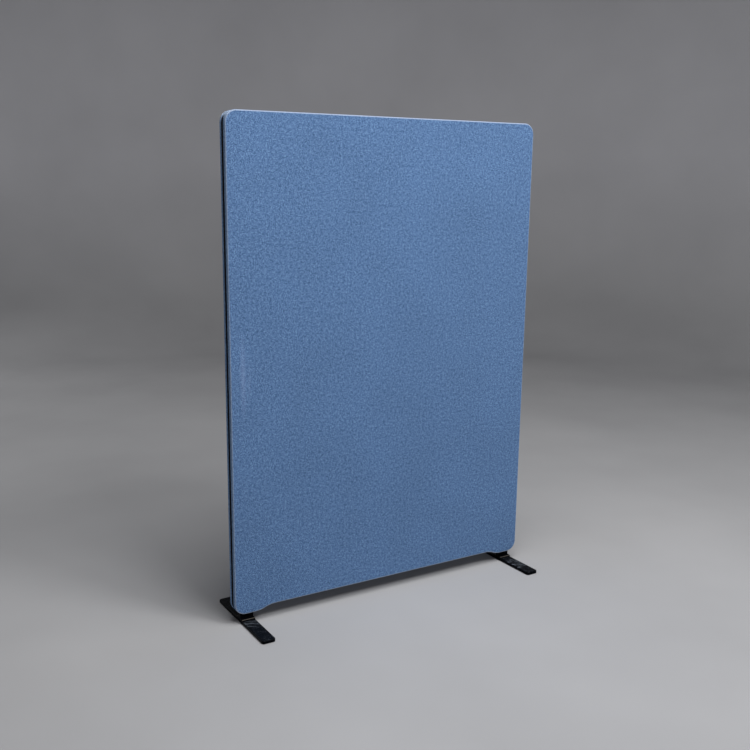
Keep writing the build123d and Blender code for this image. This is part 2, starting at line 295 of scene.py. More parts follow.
# %% [markdown]
# A taut face is never quite flat. Wide, shallow swells of a tenth or two of a millimetre are
# enough to make the light uneven. A noise texture on a Displace modifier could make them, but a
# sum of three slow waves is smoother, and it can fade out towards the edge, where the frame holds
# the cloth straight. The rear cover is the front one turned over, with its waves shifted.

# %% The two covers
swell = 0.16 * mm
swell_fade = 90 * mm
swell_waves = [(0.41, 1.07, 1.0, 1), (0.93, -0.56, 0.7, 2), (0.19, 0.33, 0.4, 3)]
shoulder_points = 12
fold_points = 6
inside_points = 9


def swells(x, z, shift):
    """How far the face stands out: crossed sine waves that fade to nothing at the edge.

    Each is weight * sin(2 pi (x / its length in x + z / its length in z) + turn * shift).
    """
    wave = sum(
        weight * np.sin(2 * np.pi * (x / x_length + z / z_length) + turn * shift)
        for x_length, z_length, weight, turn in swell_waves
    )
    edge = np.minimum(half_width - np.abs(x), np.minimum(z - raised_edge, panel_high - z))
    return swell * wave * np.clip((edge - shoulder_radius) / swell_fade, 0, 1) ** 2


def cover_profile():
    """From the face's edge over shoulder, side, fold and lip, and back inside, as (inset, depth)."""
    inner_radius = shoulder_radius - cloth_thickness
    side = half_channel + fold_radius
    lip = half_channel + cloth_thickness
    shoulder = (shoulder_radius, -half_depth + shoulder_radius)
    return np.concatenate([
        arc_of(shoulder, shoulder_radius, 270, 180, shoulder_points),
        arc_of((fold_radius, -side), fold_radius, 180, 90, fold_points),
        [(channel_depth / 2, -half_channel), (channel_depth, -half_channel)],
        [(channel_depth, -lip), (channel_depth / 2, -lip), (cloth_thickness, -lip)],
        arc_of(shoulder, inner_radius, 180, 270, inside_points),
    ])


def make_cover(name, node, facing, shift):
    """A cover. facing is -1 for the front and 1 for the rear."""
    points, faces, cut, border = swept_skin(
        edge_points, edge_outward, cover_profile(), (face_rings, inner_rings)
    )
    on_face = points[:, 1] < -half_depth + seam_gap
    points[on_face, 1] -= swells(points[on_face, 0], points[on_face, 2], shift)
    points[:, 1] *= -facing
    piece = mesh_piece(name, points, faces, flat=cut, border=border)
    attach(piece, "screen")
    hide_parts(node)
    report(piece)
    return piece


front_cover = make_cover("front_cover_cloth", "cover_front", -1, 0.6)
rear_cover = make_cover("rear_cover_cloth", "cover_rear", 1, 2.1)

# %% [markdown]
# Under each cover lies a thin fleece that rounds the shoulders. It doesn't show from outside, but
# whoever opens the zip finds it. A copy of the cover with a Solidify modifier would do, but the
# same sweep with a plain profile keeps the gap between the two even all round.

# %% The fleeces
fleece_gap = 0.15 * mm
padding = 2.5 * mm
fleece_points = 8
fleece_rings = 8


def fleece_profile():
    """Outer shoulder, rim and inner shoulder of the fleece, as (inset, depth)."""
    outer_inset = cloth_thickness + fleece_gap
    inner_inset = padding - fleece_gap
    shoulder = (shoulder_radius, -half_depth + shoulder_radius)
    rim = -half_channel - cloth_thickness - fleece_gap
    return np.concatenate([
        arc_of(shoulder, shoulder_radius - outer_inset, 270, 180, fleece_points),
        [(outer_inset, rim), (inner_inset, rim)],
        arc_of(shoulder, shoulder_radius - inner_inset, 180, 270, fleece_points),
    ])


def make_fleece(name, node, facing):
    """A fleece under a cover. facing is -1 for the front and 1 for the rear."""
    rings = (fleece_rings, inner_rings)
    points, faces = swept_skin(edge_points, edge_outward, fleece_profile(), rings)[:2]
    points[:, 1] *= -facing
    piece = mesh_piece(name, points, faces)
    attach(piece, "screen")
    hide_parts(node)
    report(piece)
    return piece


fleeces = [
    make_fleece("front_wadding_fleece", "wadding_front", -1),
    make_fleece("rear_wadding_fleece", "wadding_rear", 1),
]

# %% [markdown]
# Behind the fleeces stand the felt slabs that swallow sound. A bevelled cube would be quicker, but
# its large faces have no points that could be moved, and pressed felt is never quite even. So a
# slab is the same sweep round a rectangle with softened corners, and two waves move its faces. A
# wide slab is swept standing on its end and then laid down, because the faces of a sweep shrink to
# an upright line.

# %% The felt slabs
felt_edge = 2 * mm
felt_relief = 0.12 * mm
felt_points = 5
felt_rings = 16
felt_waves = (97, 83, 31, 43)


def rectangle_outline(low, high, radius):
    """A rectangle in (x, z) with rounded corners, as a closed loop with outward directions."""
    quarter = math.pi / 2
    runs = []
    corners = [(high[0], low[1]), (high[0], high[1]), (low[0], high[1]), (low[0], low[1])]
    inward = [(-1, 1), (-1, -1), (1, -1), (1, 1)]
    centres = [np.array(c) + radius * np.array(i) for c, i in zip(corners, inward)]
    for index, centre in enumerate(centres):
        start = (index - 1) * quarter
        ray = np.array([math.cos(start), math.sin(start)])
        before = centres[index - 1] + radius * ray
        runs.append(straight(before, centre + radius * ray, ray))
        runs.append(bend(centre, radius, start, start + quarter))
    return joined(runs)


def felt_bumps(x, z):
    """Two fine waves, one across the other, and a slow slanting one, in radians to the metre."""
    fine_x, fine_z, slow_x, slow_z = felt_waves
    return np.sin(x * fine_x) * np.sin(z * fine_z) + np.sin(x * slow_x + z * slow_z)


def make_felt(node):
    """A felt slab that fills its node's box, short of it by the relief of its faces."""
    low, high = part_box(node)
    points, outward = rectangle_outline((low.x, low.z), (high.x, high.z), felt_edge)
    inset_low, inset_high = low.y + felt_relief, high.y - felt_relief
    profile = np.concatenate([
        arc_of((felt_edge, inset_low + felt_edge), felt_edge, 270, 180, felt_points),
        arc_of((felt_edge, inset_high - felt_edge), felt_edge, 180, 90, felt_points),
    ])
    middle_z = (low.z + high.z) / 2
    turned = high.x - low.x > high.z - low.z
    if turned:
        points, outward = points[:, ::-1] - (middle_z, 0), outward[:, ::-1]
    skin, faces = swept_skin(points, outward, profile, (felt_rings, felt_rings))[:2]
    if turned:
        skin = skin[:, [2, 1, 0]] + (0, 0, middle_z)
    bumps = felt_bumps(skin[:, 0], skin[:, 2])
    middle_y = (low.y + high.y) / 2
    on_face = np.abs(skin[:, 1] - middle_y) > (inset_high - inset_low) / 2 - seam_gap
    skin[on_face, 1] += felt_relief / 2 * bumps[on_face]
    piece = mesh_piece(node + "_felt", skin, faces)
    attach(piece, "screen")
    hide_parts(node)
    report(piece)
    return piece


felt_nodes = [f"absorber_{side}_{place}" for side in ("front", "rear") for place in ("lower", "upper")]
felts = [make_felt(node) for node in felt_nodes]

# %% [markdown]
# The zip runs up the left side, over the top and down the right side. Its tapes are nodes of the
# frame, but its coils and stitches are small things that repeat along that path. An Array modifier
# on a curve could lay them out, but it bends every copy a little. So a function tells where a given
# length of zip lies, and everything along the path is worked out from it.

# %% The path of the zip round three sides
coil_low, coil_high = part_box("zip_coil_front")
tape_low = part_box("zip_tape_front")[0]


def zip_run(start_height):
    """A function from the length along the zip to (x, z) on the outline and the outward direction.

    The run starts on the left side and ends on the right side, both at the given height.
    """
    above = np.flatnonzero(edge_points[:, 1] > start_height)[::-1]
    ends = [(-half_width, start_height)], [(half_width, start_height)]
    line = np.concatenate([ends[0], edge_points[above], ends[1]])
    outward = np.concatenate([[(-1, 0)], edge_outward[above], [(1, 0)]])
    along = np.concatenate([[0], np.cumsum(np.linalg.norm(np.diff(line, axis=0), axis=1))])

    def place(length):
        at = np.stack([np.interp(length, along, line[:, k]) for k in (0, 1)], axis=1)
        ray = np.stack([np.interp(length, along, outward[:, k]) for k in (0, 1)], axis=1)
        return at, ray / np.linalg.norm(ray, axis=1, keepdims=True)

    return place, float(along[-1])


coil_place, coil_run = zip_run(coil_low.z)
print("zip:", round(coil_run, 3), "m of coil on each tape")

# %% [markdown]
# A nylon zip's teeth are one wire wound into a flat coil along each tape. The wire is made as
# such: a point goes round a small oval while it moves along the edge, and a tube of four sides
# follows it. A texture would do at arm's length, but the coil is what gives the dark line in the
# edge its ribbed look when the light rakes along it.

# %% The two coils
coil_pitch = 2 * mm
wire_radius = 0.3 * mm
coil_inner = 0.55 * mm
turn_steps = 8
wire_sides = 4
coil_outer_inset = half_width - coil_high.x
coil_outer_y = -coil_low.y


def tube(centres, radius, sides, reference):
    """Points of a tube: centre + radius (cos a * A + sin a * B), with A and B square to the line.

    A is the line's direction crossed with the reference direction, and B is the line's direction
    crossed with A.
    """
    ahead = np.gradient(centres, axis=0)
    ahead /= np.linalg.norm(ahead, axis=1, keepdims=True)
    first = np.cross(ahead, reference)
    first /= np.linalg.norm(first, axis=1, keepdims=True)
    second = np.cross(ahead, first)
    angle = 2 * np.pi * np.arange(sides) / sides
    ring = np.cos(angle)[:, None] * first[:, None] + np.sin(angle)[:, None] * second[:, None]
    return centres[:, None] + radius * ring


def capped(rows, sides):
    """Faces of one tube of that many rings, with a face across each end."""
    faces = grid_faces(rows, sides)
    ends = np.array([np.arange(sides)[::-1], (rows - 1) * sides + np.arange(sides)])
    return np.concatenate([faces, ends])


def make_coil(name, node, facing, phase):
    """A wire at (inset, y) = centre + (height * cos t, width * sin t), one turn for each pitch."""
    height = (channel_depth - coil_outer_inset) / 2 - wire_radius
    width = (coil_outer_y - coil_inner) / 2 - wire_radius
    middle_inset = (channel_depth + coil_outer_inset) / 2
    middle_y = (coil_outer_y + coil_inner) / 2
    turns = int((coil_run - 2 * wire_radius) / coil_pitch)
    step = np.arange(turns * turn_steps + 1)
    angle = 2 * np.pi * step / turn_steps
    at, ray = coil_place(wire_radius + step * coil_pitch / turn_steps)
    inset = middle_inset + height * np.cos(angle + phase)
    depth = facing * (middle_y + width * np.sin(angle + phase))
    flat = at - inset[:, None] * ray
    centres = np.stack([flat[:, 0], depth, flat[:, 1]], axis=1)
    along = np.stack([-ray[:, 1], np.zeros(len(ray)), ray[:, 0]], axis=1)
    rings = tube(centres, wire_radius, wire_sides, along)
    piece = mesh_piece(name, rings.reshape(-1, 3), capped(len(rings), wire_sides))
    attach(piece, "screen")
    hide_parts(node)
    report(piece)
    return piece


coils = [
    make_coil("zip_coil_front_turns", "zip_coil_front", -1, 0),
    make_coil("zip_coil_rear_turns", "zip_coil_rear", 1, math.pi),
]

# %% [markdown]
# Each tape turns up along the channel's wall as a black facing, and a row of stitches holds it to
# the cover's lip. Stitches could be a bump pattern, but in a close view they stand out from the
# cloth. A stitch is a short thread that rises from the facing and dips back into it, so each is a
# thin spindle: its radius and its height both follow half a sine wave. With a few faces each, a
# thousand of them fit in one mesh.

# %% The stitches that hold the tapes
stitch_pitch = 3.6 * mm
stitch_length = 2.8 * mm
thread_radius = 0.2 * mm
facing_thickness = 0.6 * mm
stitch_inset = 2 * mm
stitch_rise = 0.6
stitch_rings = 5
stitch_sides = 6


def make_stitches(name, facing):
    """Spindles along the facing.

    With s = sin(pi * share of the stitch), the thread's radius is thread_radius * s, and its
    middle stands stitch_rise * thread_radius * s off the facing.
    """
    place, length = zip_run(tape_low.z)
    count = int((length - stitch_length) / stitch_pitch)
    share = np.linspace(0, 1, stitch_rings)
    starts = (np.arange(count) + 0.5) * stitch_pitch
    along = (starts[:, None] + share[None] * stitch_length).ravel()
    at, ray = place(along)
    swelling = np.tile(np.sin(np.pi * share), count)
    angle = 2 * np.pi * np.arange(stitch_sides) / stitch_sides
    lift = swelling[:, None] * (stitch_rise + np.cos(angle)[None]) * thread_radius
    inset = stitch_inset + swelling[:, None] * np.sin(angle)[None] * thread_radius
    flat = at[:, None] - inset[:, :, None] * ray[:, None]
    sideways = facing * (half_channel - facing_thickness - lift)
    points = np.stack([flat[:, :, 0], sideways, flat[:, :, 1]], axis=2)
    each = grid_faces(stitch_rings, stitch_sides)
    offsets = np.arange(count)[:, None, None] * stitch_rings * stitch_sides
    piece = mesh_piece(name, points.reshape(-1, 3), (each[None] + offsets).reshape(-1, 4))
    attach(piece, "screen")
    report(piece)
    return piece


stitches = [make_stitches("zip_seam_front", -1), make_stitches("zip_seam_rear", 1)]

# %% [markdown]
# Over the top a flap of the same cloth lies in the mouth of the channel and keeps dust off the
# zip. That is why the dark line ends in the round of the upper corner. A cloth simulation could
# lay it there, but it lies straight and tight. So it is a thin closed profile carried along the
# top, and its middle stands a little proud. Over its last few millimetres it dips into the channel
# and grows narrower, to pass between the stitches, by a share that rises smoothly from 0 to 1.

# %% The flap over the zip
flap_start = math.radians(24)
flap_thickness = 0.7 * mm
flap_inset = 0.05 * mm
flap_crown = 0.1 * mm
flap_side_gap = 0.05 * mm
flap_end_gap = 0.5 * mm
flap_dip = 3 * mm
flap_dip_length = 7 * mm
flap_step = 2 * mm
flap_points = 9
flap_border = 3 * mm
flap_half_width = half_channel - flap_side_gap
flap_end_half_width = half_channel - facing_thickness - flap_end_gap


def flap_profile():
    """The strip's outer side and its inner side back again, as (inset, share).

    The share is the place across the strip, from -1 to 1.
    """
    across = np.linspace(-1, 1, flap_points)
    outer = np.stack([flap_inset + flap_crown * across**2, across], axis=1)
    inner = outer[::-1] + (flap_thickness, 0)
    return np.concatenate([outer, inner])


def make_flap(name):
    """The flap. A point lies at its place on the outline - (inset + dip) * outward, y = share * width.

    The width here is half the strip's. The border is the same all over, so that the whole flap
    gets the same painted sheen highlight as a shoulder.
    """
    place, length = zip_run(panel_high - corner_radius)
    start = corner_radius * flap_start
    along = np.linspace(start, length - start, round((length - 2 * start) / flap_step))
    from_end = np.minimum(along - along[0], along[-1] - along) / flap_dip_length
    near_end = 1 - np.clip(from_end, 0, 1)
    dipped = near_end**2 * (3 - 2 * near_end)
    at, ray = place(along)
    profile = flap_profile()
    inset = profile[:, 0][None] + flap_dip * dipped[:, None]
    width = flap_half_width + (flap_end_half_width - flap_half_width) * dipped
    depth = width[:, None] * profile[:, 1][None]
    flat = at[:, None] - inset[:, :, None] * ray[:, None]
    points = np.stack([flat[:, :, 0], depth, flat[:, :, 1]], axis=2)
    cut = np.stack([np.broadcast_to(along[:, None], depth.shape), depth], axis=2)
    count, sides = depth.shape
    half = sides // 2
    faces = [grid_faces(count, sides)]
    for row in (0, count - 1):
        first = row * sides + np.arange(half - 1)
        last = row * sides + sides - 1 - np.arange(half - 1)
        faces.append(np.stack([first, first + 1, last - 1, last], axis=1))
    border = np.full(count * sides, flap_border)
    piece = mesh_piece(name, points.reshape(-1, 3), np.concatenate(faces), cut.reshape(-1, 2), border)
    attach(piece, "screen")
    report(piece)
    return piece


flap = make_flap("top_flap_cloth")

# %% [markdown]
# Materials are built from nodes. In Blender's editor they are wired by hand, and in a script each
# would take several lines. So a small helper makes a node, sets its values and links what is handed
# to it. A number that is the same all over goes straight on the shader, and only what varies over
# the surface comes from a pattern.

# %% Nodes and their links
def new_material(name, roughness, metallic=0.0, **constants):
    """A material with a Principled shader, and its node tree and shader to build on."""
    material = bpy.data.materials.new(name)
    material.use_nodes = True
    tree = material.node_tree
    shader = tree.nodes["Principled BSDF"]
    shader.inputs["Roughness"].default_value = roughness
    shader.inputs["Metallic"].default_value = metallic
    for socket, value in constants.items():
        shader.inputs[socket.replace("_", " ")].default_value = value
    return material, tree, shader


def add(tree, kind, inputs=None, **settings):
    """A node of that kind. An input is a number, a colour or the output that feeds it."""
    made = tree.nodes.new("ShaderNode" + kind)
    for key, value in settings.items():
        setattr(made, key, value)
    for key, value in (inputs or {}).items():
        if isinstance(value, bpy.types.NodeSocket):
            tree.links.new(value, made.inputs[key])
        else:
            made.inputs[key].default_value = value
    return made


def maths(tree, operation, *values, clamp=False):
    """The output of one sum."""
    return add(tree, "Math", dict(enumerate(values)), operation=operation, use_clamp=clamp).outputs[0]


def vector_maths(tree, operation, *values):
    """The output of one sum on vectors."""
    return add(tree, "VectorMath", dict(enumerate(values)), operation=operation).outputs[0]


def srgb(red, green, blue):
    """A colour as a paint chart gives it, 0 to 255, turned into the linear values of a shader."""
    share = np.array([red, green, blue]) / 255
    linear = np.where(share <= 0.04045, share / 12.92, ((share + 0.055) / 1.055) ** 2.4)
    return tuple(float(value) for value in linear)


print("half grey on a paint chart is", round(srgb(128, 128, 128)[0], 3), "on a shader")

# %% [markdown]
# A pattern is a number at each place of the surface. Blender offers image textures for that, but
# an image has one size, and a noise is sharp at any distance. Its place is read in metres, and a
# few sums cut it off or hold it back to the part of the surface that is meant.

# %% Places and patterns
def object_place(tree, stretch=(1, 1, 1)):
    """Object coordinates, in metres, scaled by the stretch along X, Y and Z."""
    place = add(tree, "TexCoord").outputs["Object"]
    return add(tree, "Mapping", {"Vector": place, "Scale": stretch}).outputs["Vector"]


def parts(tree, vector):
    """The X, Y and Z of a vector, as three outputs."""
    return tuple(add(tree, "SeparateXYZ", {0: vector}).outputs)


def noise(tree, place, scale, detail=2.0, roughness=0.5, dimensions="3D"):
    """The output of a noise pattern, about 0.5 on average, with scale cells to each unit."""
    inputs = {"Vector": place, "Scale": scale, "Detail": detail, "Roughness": roughness}
    return add(tree, "TexNoise", inputs, noise_dimensions=dimensions).outputs[0]


def swing(tree, pattern, amount, base):
    """The base, plus the amount times the pattern's distance from its average, 0.5."""
    return maths(tree, "MULTIPLY_ADD", maths(tree, "SUBTRACT", pattern, 0.5), amount, base)


def rise(tree, value, start, width):
    """0 where the value is up to start, 1 from start + width on, and straight between them."""
    return maths(tree, "DIVIDE", maths(tree, "SUBTRACT", value, start), width, clamp=True)


def band(tree, value, low, high, soft):
    """1 where the value is between low and high, falling to 0 over the soft width outside."""
    falling = maths(tree, "SUBTRACT", 1.0, rise(tree, value, high, soft))
    return maths(tree, "MULTIPLY", rise(tree, value, low - soft, soft), falling)


print("pattern helpers:", ", ".join(helper.__name__ for helper in (noise, swing, rise, band)))

# %% [markdown]
# A pattern shows in two ways: as a colour, through a ramp or a mix, and as relief, through a bump.
# A bump tilts the light and leaves the surface where it is. Displacement would move the surface,
# but that takes far more faces than yarns that stand out by a third of a millimetre are worth.

# %% Colour and relief
def ramp(tree, factor, stops):
    """A colour ramp over the factor. Each stop is (place, colour)."""
    made = add(tree, "ValToRGB", {"Fac": factor})
    elements = made.color_ramp.elements
    while len(elements) < len(stops):
        elements.new(0.5)
    for element, (place, colour) in zip(elements, stops):
        element.position = place
        element.color = (*colour, 1)
    return made.outputs["Color"]


def tones(tree, pattern, colours, start):
    """The first colour where the pattern is at start, the second where it is at 1 - start."""
    return ramp(tree, pattern, [(start, colours[0]), (1 - start, colours[1])])


def mixed(tree, factor, first, second, blend="MIX"):
    """Two colours mixed, or blended, by the factor. The node keeps its colours at 6, 7 and 2."""
    made = add(tree, "Mix", {0: factor}, data_type="RGBA", blend_type=blend)
    for index, value in ((6, first), (7, second)):
        if isinstance(value, bpy.types.NodeSocket):
            tree.links.new(value, made.inputs[index])
        else:
            made.inputs[index].default_value = (*value, 1)
    return made.outputs[2]


def painted(tree, shader, colour):
    """Links a colour to the shader."""
    tree.links.new(colour, shader.inputs["Base Color"])


def bumped(tree, shader, height, distance, strength=1.0):
    """The height as a bump on the shader. distance is in metres."""
    made = add(tree, "Bump", {"Height": height, "Distance": distance, "Strength": strength})
    tree.links.new(made.outputs["Normal"], shader.inputs["Normal"])


def dress(material, pieces):
    """Gives each of the pieces the material."""
    for piece in pieces:
        piece.data.materials.append(material)


print("colour helpers:", ", ".join(helper.__name__ for helper in (ramp, tones, mixed, bumped)))

# %% [markdown]
# The melange cloth is what people see, so it gets the most care. A crepe weave has no straight
# lines: its yarns float at random, which makes small pebbles of two or three millimetres. Dark
# and light fibres are mixed before spinning, so the colour is flecked. Three patterns make it:
# flecks of two sizes, the pebbles, and the yarns themselves, less than a millimetre apart. All
# of them are laid out on the flat cut, in millimetres, because a weave follows the cloth.

# %% The weave
cloth_noises = [(0.34, 3, 0.62), (0.13, 2, 0.5), (0.52, 1.5, 0.5), (0.006, 2, 0.5)]
wide_share = 0.35
pebble_share = 0.30
yarn_pitch = 0.85
yarn_wander = 9.0


def cloth_place(tree):
    """The place on the flat cut, in millimetres."""
    cut = add(tree, "UVMap", uv_map="cloth").outputs["UV"]
    return add(tree, "VectorMath", {0: cut, "Scale": 1 / mm}, operation="SCALE").outputs["Vector"]


def crossed_yarns(tree, place, wanders):
    """Two sine waves multiplied: one along each way of the cut, each led astray by a pattern."""
    waves = []
    for side, wander in zip(parts(tree, place), wanders):
        along = maths(tree, "MULTIPLY", side, 2 * math.pi / yarn_pitch)
        waves.append(maths(tree, "SINE", maths(tree, "MULTIPLY_ADD", wander, yarn_wander, along)))
    return maths(tree, "MULTIPLY", *waves)


print("yarns:", yarn_pitch, "mm apart")

# %% [markdown]
# Over the shoulder the cloth is painted paler, as a highlight for the sheen its fibres show where
# the surface turns away from the face. It is paler still along the top, where the light from above
# falls on it, and along the lower edge, where the light from the floor reaches it. Near the left
# edge of the front are two faint pale streaks. Such marks could be painted by hand on an image,
# but the border that each point keeps already says where the shoulder is.

# %% The painted sheen and the streaks on the cloth
# Painted highlight: the pale colour the shoulders move towards, standing in for sheen where light catches
# them.
cloth_sheen_pale = srgb(178, 188, 204)
cloth_streaked = srgb(150, 172, 214)
shoulder_start = 0.8
shoulder_end = 4.6
shoulder_fade = 0.8
side_end = 16
sheen_anywhere = 0.34
sheen_at_top = 0.20
sheen_at_foot = 0.5


def streaked(tree, colour, place, flecks, streaks):
    """The colour with pale streaks. Each is its middle, its half size, in mm, and its strength.

    A streak is 2 * strength * flecks * (1 - length((place - middle) / half size)), at least 0.
    """
    for middle, half_size, strength in streaks:
        shifted = vector_maths(tree, "SUBTRACT", place, (*middle, 0))
        shares = vector_maths(tree, "DIVIDE", shifted, (*half_size, 1))
        far = add(tree, "VectorMath", {0: shares}, operation="LENGTH").outputs["Value"]
        streak = maths(tree, "SUBTRACT", 1.0, far, clamp=True)
        streak = maths(tree, "MULTIPLY", streak, maths(tree, "MULTIPLY", flecks, 2 * strength))
        colour = mixed(tree, streak, colour, cloth_streaked)
    return colour


def painted_sheen(tree, colour, flecks):
    """The colour made paler over the shoulder, as a painted sheen highlight.

    It is paler still within a corner radius of the top and of the bottom, and at the top the
    cover's side, which faces the light from above, is painted as pale as its shoulder.
    """
    border = add(tree, "Attribute", attribute_name="border").outputs["Fac"]
    past = maths(tree, "MULTIPLY", border, 1 / mm)
    height = parts(tree, object_place(tree))[2]
    upper = rise(tree, height, panel_high - corner_radius, corner_radius)
    lower = maths(tree, "SUBTRACT", 1.0, rise(tree, height, panel_low, corner_radius))
    shoulder = band(tree, past, shoulder_start, shoulder_end, shoulder_fade)
    side = maths(tree, "MULTIPLY", band(tree, past, shoulder_end, side_end, shoulder_fade), upper)
    share = maths(tree, "MULTIPLY_ADD", upper, sheen_at_top, sheen_anywhere)
    share = maths(tree, "MULTIPLY_ADD", lower, sheen_at_foot, share)
    share = maths(tree, "MULTIPLY", maths(tree, "MAXIMUM", shoulder, side), share)
    share = maths(tree, "MULTIPLY", share, maths(tree, "ADD", flecks, 0.5), clamp=True)
    return mixed(tree, share, colour, cloth_sheen_pale)


print("rubbed from", shoulder_start, "to", shoulder_end, "mm past the face's edge")

# %% [markdown]
# The cloth's material puts these together: the flecked colour, its painted sheen highlight, a slow
# drift of the tone and the shade between the yarns. Loose fibres stand on it and catch the light
# from the side. The shader's sheen is made for that, and a bluish tint keeps it from turning grey.

# %% The melange cloth
fleck_stops = [
    (0.34, srgb(57, 85, 125)),
    (0.44, srgb(77, 108, 151)),
    (0.5, srgb(86, 118, 161)),
    (0.57, srgb(96, 129, 172)),
    (0.68, srgb(120, 153, 194)),
]
sheen_tint = (0.6, 0.8, 1.0, 1.0)
drift_share = 0.16
yarn_shade = 0.05
yarn_relief = 0.22
weave_relief = 0.35 * mm
front_streaks = [((-463, 700), (11, 130), 0.3), ((-446, 685), (6, 70), 0.16)]


def melange_cloth(name, streaks=()):
    """Blue melange crepe: flecked colour, painted sheen and streaks, times the tone, and pebbled relief.
    """
    material, tree, shader = new_material(
        name, 0.92, Sheen_Weight=0.6, Sheen_Roughness=0.3, Sheen_Tint=sheen_tint, Specular_IOR_Level=0.25
    )
    place = cloth_place(tree)
    small, wide, pebbles, drift = (noise(tree, place, *values, "2D") for values in cloth_noises)
    yarns = crossed_yarns(tree, place, (small, wide))
    flecks = swing(tree, pebbles, pebble_share, swing(tree, wide, wide_share, small))
    colour = streaked(tree, ramp(tree, flecks, fleck_stops), place, small, streaks)
    # Painted sheen highlight over the shoulders, over the sides at the top, and over the flap.
    colour = painted_sheen(tree, colour, small)
    tone = maths(tree, "MULTIPLY_ADD", yarns, yarn_shade, swing(tree, drift, drift_share, 1.0))
    grey = add(tree, "CombineColor", {0: tone, 1: tone, 2: tone}).outputs[0]
    painted(tree, shader, mixed(tree, 1.0, colour, grey, "MULTIPLY"))
    bumped(tree, shader, maths(tree, "MULTIPLY_ADD", yarns, yarn_relief, pebbles), weave_relief)
    return material


dress(melange_cloth("melange_cloth_front", front_streaks), [front_cover])
dress(melange_cloth("melange_cloth_rear"), [rear_cover, flap])
print("cloth on", front_cover.name, rear_cover.name, "and", flap.name)

# %% [markdown]
# The feet are flat steel bar under a black powder coat: half glossy, with the fine dimples of
# baked powder. On their tops in front of the posts the coat is scuffed, where shoes and the
# edges of boxes have been. Scuffs could be painted, but they are only fine scratches: a noise that
# is stretched along one direction and cut off high, so that its ridges show. Fine specks lie all
# over the top, and its edges are painted a little lighter all round, as a highlight where they
# catch the light.

# %% Black powder coat with scuffs and a painted edge highlight
bar_low, bar_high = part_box("foot_bar_left")
coat_black = (srgb(3, 4, 7), srgb(6, 8, 13))
# Pale grey for the scuffs, and also for the painted highlight along the edges of the bars' tops.
scuff_and_highlight_grey = srgb(150, 158, 170)
coat_dimples = 900
dimple_relief = 0.04 * mm
scratch_paces = [(0.5, 0.87, 150), (0.87, -0.5, 24)]
hair_stretch = (12, 1.5, 1)
# Each cut is the noise's value at which a mark begins, and how much more makes it full.
stroke_cut = (0.52, 0.08)
hair_cut = (0.42, 0.16)
speck_cut = (0.55, 0.1)
scuff_fade = 8 * mm
top_margin = 0.1 * mm
top_fade = 0.3 * mm
rim_width = 1.6 * mm
rim_fade = 0.8 * mm
speck_share = 0.09
rim_highlight_share = 0.05
coat_roughness = 0.24
patch_roughness = 0.16
scuff_roughness = 0.25


def scratches(tree, x, y):
    """Slanting scratches that break up into hairs.

    Noise at (x * a + y * b) * pace, one row of a, b and pace across the scratches and one along
    them, times a finer noise on the same place.
    """
    slanted = []
    for x_share, y_share, pace in scratch_paces:
        part = maths(tree, "MULTIPLY", y, y_share * pace)
        slanted.append(maths(tree, "MULTIPLY_ADD", x, x_share * pace, part))
    place = add(tree, "CombineXYZ", {0: slanted[0], 1: slanted[1]}).outputs[0]
    strokes = rise(tree, noise(tree, place, 1, 3, 0.6), *stroke_cut)
    finer = vector_maths(tree, "MULTIPLY", place, hair_stretch)
    hairs = rise(tree, noise(tree, finer, 1, 2, 0.6), *hair_cut)
    return maths(tree, "MULTIPLY", strokes, hairs)


def top_rim_highlight(tree, x, y):
    """1 near the edges of a bar's top, where the highlight is painted, and 0 inside them."""
    across, along = maths(tree, "ABSOLUTE", x), maths(tree, "ABSOLUTE", y)
    inside = band(tree, across, rim_width - bar_high.x, -rim_width - bar_low.x, rim_fade)
    inside = maths(tree, "MULTIPLY", inside, band(tree, along, 0, bar_high.y - rim_width, rim_fade))
    return maths(tree, "SUBTRACT", 1.0, inside)


def powder_coat(name, scuffs_low, scuffs_high, scuffed):
    """Black coat on a foot bar, scuffed on top between the two places along Y by that share, with a
    painted highlight round the top's edges.
    """
    material, tree, shader = new_material(name, 0.38, Specular_IOR_Level=0.03)
    place = object_place(tree)
    x, y, z = parts(tree, place)
    patches = noise(tree, place, 70, 3, 0.6)
    specks = rise(tree, noise(tree, place, 240, 2, 0.6), *speck_cut)
    in_reach = maths(tree, "MULTIPLY", band(tree, y, scuffs_low, scuffs_high, scuff_fade), scuffed)
    scuffs_and_highlight = maths(tree, "MULTIPLY", scratches(tree, x, y), in_reach)
    scuffs_and_highlight = maths(tree, "MULTIPLY_ADD", specks, speck_share, scuffs_and_highlight)
    # A painted highlight in patches along the edges of the top.
    rim = maths(tree, "MULTIPLY", top_rim_highlight(tree, x, y), patches)
    scuffs_and_highlight = maths(tree, "MULTIPLY_ADD", rim, rim_highlight_share, scuffs_and_highlight)
    on_top = band(tree, z, bar_high.z - top_margin, bar_high.z + top_margin, top_fade)
    scuffs_and_highlight = maths(tree, "MULTIPLY", scuffs_and_highlight, on_top, clamp=True)
    painted(tree, shader, mixed(tree, scuffs_and_highlight, tones(tree, patches, coat_black, 0.3), scuff_and_highlight_grey))
    rough = maths(tree, "MULTIPLY_ADD", patches, patch_roughness, coat_roughness)
    rough = maths(tree, "MULTIPLY_ADD", scuffs_and_highlight, scuff_roughness, rough, clamp=True)
    tree.links.new(rough, shader.inputs["Roughness"])
    bumped(tree, shader, noise(tree, place, coat_dimples), dimple_relief, 0.6)
    return material


print("foot bar:", round((bar_high.y - bar_low.y) / mm), "by", round((bar_high.x - bar_low.x) / mm), "mm")

# %% [markdown]
# The posts have the same coat, and along the front and rear edges of the base flange a pale grey
# like bare steel is painted on, as a highlight where those edges catch the light. Blender can find
# edges by how pointed they are, but only where faces share their corners, and a node's mesh is
# loose triangles. The flange's edges lie at known places, so a band in height and a band in depth
# mark them.

